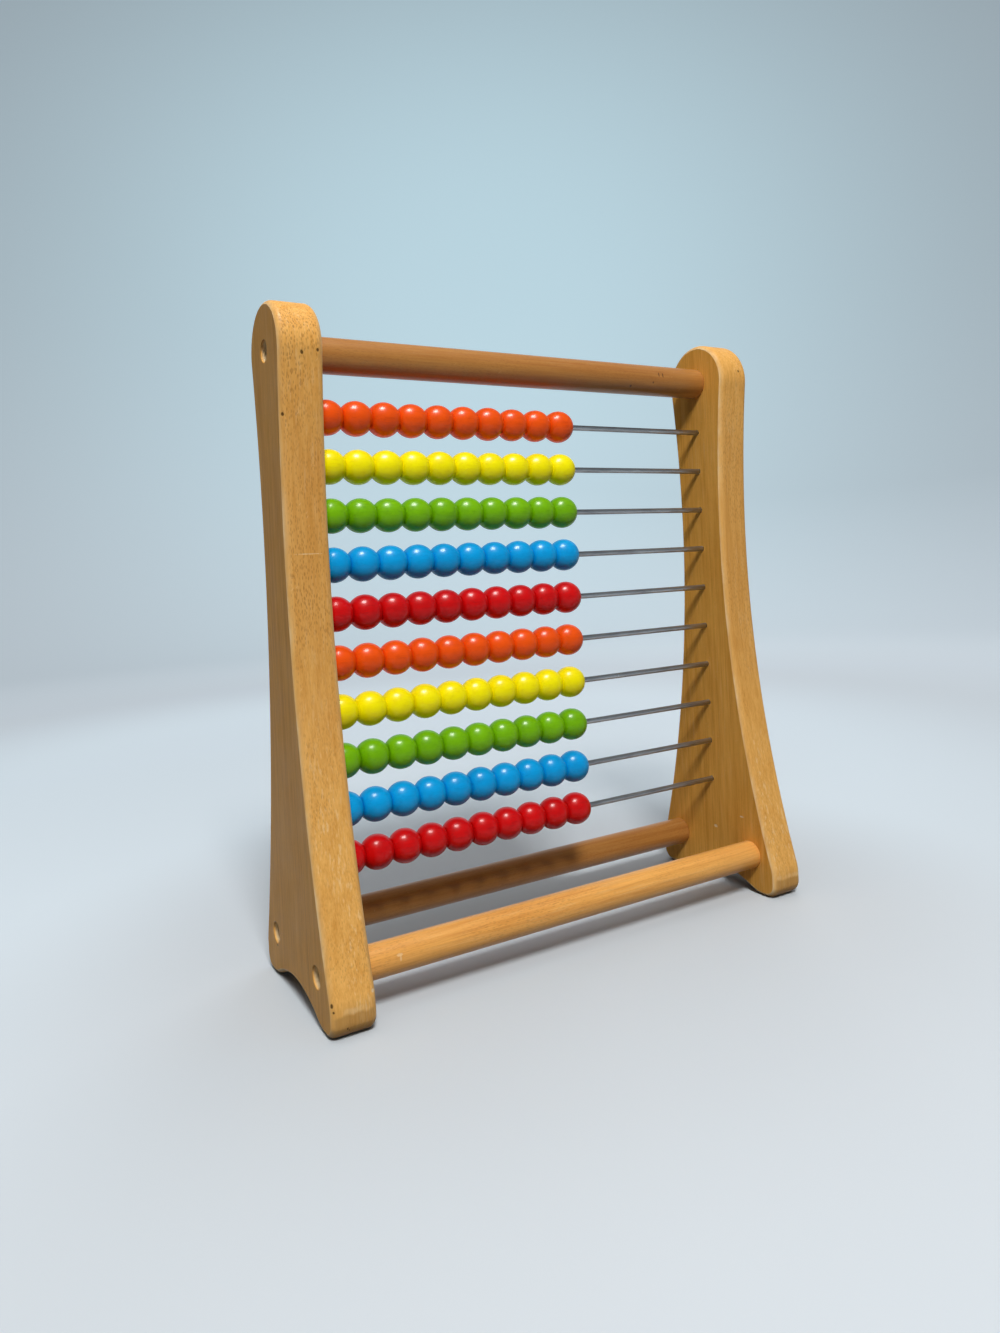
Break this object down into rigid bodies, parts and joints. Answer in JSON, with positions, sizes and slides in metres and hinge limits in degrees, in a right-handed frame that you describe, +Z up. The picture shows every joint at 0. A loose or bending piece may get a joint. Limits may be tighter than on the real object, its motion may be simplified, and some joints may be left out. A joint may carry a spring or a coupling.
{
  "type": "toy abacus",
  "caption": "Free-standing wooden toy abacus: painted beads slide and spin on steel wires between two arched side panels joined by round rails.",
  "frame": {"origin": "on the table, under the middle of the frame", "axes": "+X along the wires towards the side the beads are pushed to when counted off, -Y is the front, +Z up"},
  "size_m": [0.26, 0.088, 0.2977],
  "materials": {
    "panel_wood": "satin clear lacquer on pale hardwood board",
    "rail_wood": "satin clear lacquer on turned hardwood rod",
    "wire_steel": "drawn, dull grey",
    "screw_steel": "zinc plated",
    "bead_orange": "glossy orange paint on turned wood",
    "bead_yellow": "glossy yellow paint on turned wood",
    "bead_green": "glossy green paint on turned wood",
    "bead_blue": "glossy blue paint on turned wood",
    "bead_red": "glossy red paint on turned wood"
  },
  "bodies": {
    "frame": {"left_side_panel": "panel_wood", "right_side_panel": "panel_wood", "top_rail": "rail_wood", "front_bottom_rail": "rail_wood", "rear_bottom_rail": "rail_wood", "top_rail_left_screw": "screw_steel", "front_bottom_rail_left_screw": "screw_steel", "rear_bottom_rail_left_screw": "screw_steel", "top_rail_right_screw": "screw_steel", "front_bottom_rail_right_screw": "screw_steel", "rear_bottom_rail_right_screw": "screw_steel"},
    "row_01_wire": {"row_01_wire": "wire_steel"},
    "row_01_left_beads": {"row_01_left_beads": "bead_orange"},
    "row_01_right_beads": {"row_01_right_beads": "bead_orange"},
    "row_02_wire": {"row_02_wire": "wire_steel"},
    "row_02_left_beads": {"row_02_left_beads": "bead_yellow"},
    "row_02_right_beads": {"row_02_right_beads": "bead_yellow"},
    "row_03_wire": {"row_03_wire": "wire_steel"},
    "row_03_left_beads": {"row_03_left_beads": "bead_green"},
    "row_03_right_beads": {"row_03_right_beads": "bead_green"},
    "row_04_wire": {"row_04_wire": "wire_steel"},
    "row_04_left_beads": {"row_04_left_beads": "bead_blue"},
    "row_04_right_beads": {"row_04_right_beads": "bead_blue"},
    "row_05_wire": {"row_05_wire": "wire_steel"},
    "row_05_left_beads": {"row_05_left_beads": "bead_red"},
    "row_05_right_beads": {"row_05_right_beads": "bead_red"},
    "row_06_wire": {"row_06_wire": "wire_steel"},
    "row_06_left_beads": {"row_06_left_beads": "bead_orange"},
    "row_06_right_beads": {"row_06_right_beads": "bead_orange"},
    "row_07_wire": {"row_07_wire": "wire_steel"},
    "row_07_left_beads": {"row_07_left_beads": "bead_yellow"},
    "row_07_right_beads": {"row_07_right_beads": "bead_yellow"},
    "row_08_wire": {"row_08_wire": "wire_steel"},
    "row_08_left_beads": {"row_08_left_beads": "bead_green"},
    "row_08_right_beads": {"row_08_right_beads": "bead_green"},
    "row_09_wire": {"row_09_wire": "wire_steel"},
    "row_09_left_beads": {"row_09_left_beads": "bead_blue"},
    "row_09_right_beads": {"row_09_right_beads": "bead_blue"},
    "row_10_wire": {"row_10_wire": "wire_steel"},
    "row_10_left_beads": {"row_10_left_beads": "bead_red"},
    "row_10_right_beads": {"row_10_right_beads": "bead_red"}
  },
  "joints": [
    {"name": "row_01_left_slide", "type": "slide", "parent": "row_01_wire", "child": "row_01_left_beads", "axis": [-1, 0, 0], "range_m": [-0.0863, 0]},
    {"name": "row_01_right_slide", "type": "slide", "parent": "row_01_left_beads", "child": "row_01_right_beads", "axis": [1, 0, 0], "range_m": [0, 0.0863]},
    {"name": "row_01_spin", "type": "hinge", "parent": "frame", "child": "row_01_wire", "pos_m": [0, 0, 0.2497], "axis": [1, 0, 0], "continuous": true},
    {"name": "row_02_left_slide", "type": "slide", "parent": "row_02_wire", "child": "row_02_left_beads", "axis": [-1, 0, 0], "range_m": [-0.0863, 0]},
    {"name": "row_02_right_slide", "type": "slide", "parent": "row_02_left_beads", "child": "row_02_right_beads", "axis": [1, 0, 0], "range_m": [0, 0.0863]},
    {"name": "row_02_spin", "type": "hinge", "parent": "frame", "child": "row_02_wire", "pos_m": [0, 0, 0.2282], "axis": [1, 0, 0], "continuous": true},
    {"name": "row_03_left_slide", "type": "slide", "parent": "row_03_wire", "child": "row_03_left_beads", "axis": [-1, 0, 0], "range_m": [-0.0863, 0]},
    {"name": "row_03_right_slide", "type": "slide", "parent": "row_03_left_beads", "child": "row_03_right_beads", "axis": [1, 0, 0], "range_m": [0, 0.0863]},
    {"name": "row_03_spin", "type": "hinge", "parent": "frame", "child": "row_03_wire", "pos_m": [0, 0, 0.2067], "axis": [1, 0, 0], "continuous": true},
    {"name": "row_04_left_slide", "type": "slide", "parent": "row_04_wire", "child": "row_04_left_beads", "axis": [-1, 0, 0], "range_m": [-0.0863, 0]},
    {"name": "row_04_right_slide", "type": "slide", "parent": "row_04_left_beads", "child": "row_04_right_beads", "axis": [1, 0, 0], "range_m": [0, 0.0863]},
    {"name": "row_04_spin", "type": "hinge", "parent": "frame", "child": "row_04_wire", "pos_m": [0, 0, 0.1852], "axis": [1, 0, 0], "continuous": true},
    {"name": "row_05_left_slide", "type": "slide", "parent": "row_05_wire", "child": "row_05_left_beads", "axis": [-1, 0, 0], "range_m": [-0.0863, 0]},
    {"name": "row_05_right_slide", "type": "slide", "parent": "row_05_left_beads", "child": "row_05_right_beads", "axis": [1, 0, 0], "range_m": [0, 0.0863]},
    {"name": "row_05_spin", "type": "hinge", "parent": "frame", "child": "row_05_wire", "pos_m": [0, 0, 0.1637], "axis": [1, 0, 0], "continuous": true},
    {"name": "row_06_left_slide", "type": "slide", "parent": "row_06_wire", "child": "row_06_left_beads", "axis": [-1, 0, 0], "range_m": [-0.0863, 0]},
    {"name": "row_06_right_slide", "type": "slide", "parent": "row_06_left_beads", "child": "row_06_right_beads", "axis": [1, 0, 0], "range_m": [0, 0.0863]},
    {"name": "row_06_spin", "type": "hinge", "parent": "frame", "child": "row_06_wire", "pos_m": [0, 0, 0.1422], "axis": [1, 0, 0], "continuous": true},
    {"name": "row_07_left_slide", "type": "slide", "parent": "row_07_wire", "child": "row_07_left_beads", "axis": [-1, 0, 0], "range_m": [-0.0863, 0]},
    {"name": "row_07_right_slide", "type": "slide", "parent": "row_07_left_beads", "child": "row_07_right_beads", "axis": [1, 0, 0], "range_m": [0, 0.0863]},
    {"name": "row_07_spin", "type": "hinge", "parent": "frame", "child": "row_07_wire", "pos_m": [0, 0, 0.1207], "axis": [1, 0, 0], "continuous": true},
    {"name": "row_08_left_slide", "type": "slide", "parent": "row_08_wire", "child": "row_08_left_beads", "axis": [-1, 0, 0], "range_m": [-0.0863, 0]},
    {"name": "row_08_right_slide", "type": "slide", "parent": "row_08_left_beads", "child": "row_08_right_beads", "axis": [1, 0, 0], "range_m": [0, 0.0863]},
    {"name": "row_08_spin", "type": "hinge", "parent": "frame", "child": "row_08_wire", "pos_m": [0, 0, 0.0992], "axis": [1, 0, 0], "continuous": true},
    {"name": "row_09_left_slide", "type": "slide", "parent": "row_09_wire", "child": "row_09_left_beads", "axis": [-1, 0, 0], "range_m": [-0.0863, 0]},
    {"name": "row_09_right_slide", "type": "slide", "parent": "row_09_left_beads", "child": "row_09_right_beads", "axis": [1, 0, 0], "range_m": [0, 0.0863]},
    {"name": "row_09_spin", "type": "hinge", "parent": "frame", "child": "row_09_wire", "pos_m": [0, 0, 0.0777], "axis": [1, 0, 0], "continuous": true},
    {"name": "row_10_left_slide", "type": "slide", "parent": "row_10_wire", "child": "row_10_left_beads", "axis": [-1, 0, 0], "range_m": [-0.0863, 0]},
    {"name": "row_10_right_slide", "type": "slide", "parent": "row_10_left_beads", "child": "row_10_right_beads", "axis": [1, 0, 0], "range_m": [0, 0.0863]},
    {"name": "row_10_spin", "type": "hinge", "parent": "frame", "child": "row_10_wire", "pos_m": [0, 0, 0.0562], "axis": [1, 0, 0], "continuous": true}
  ]
}
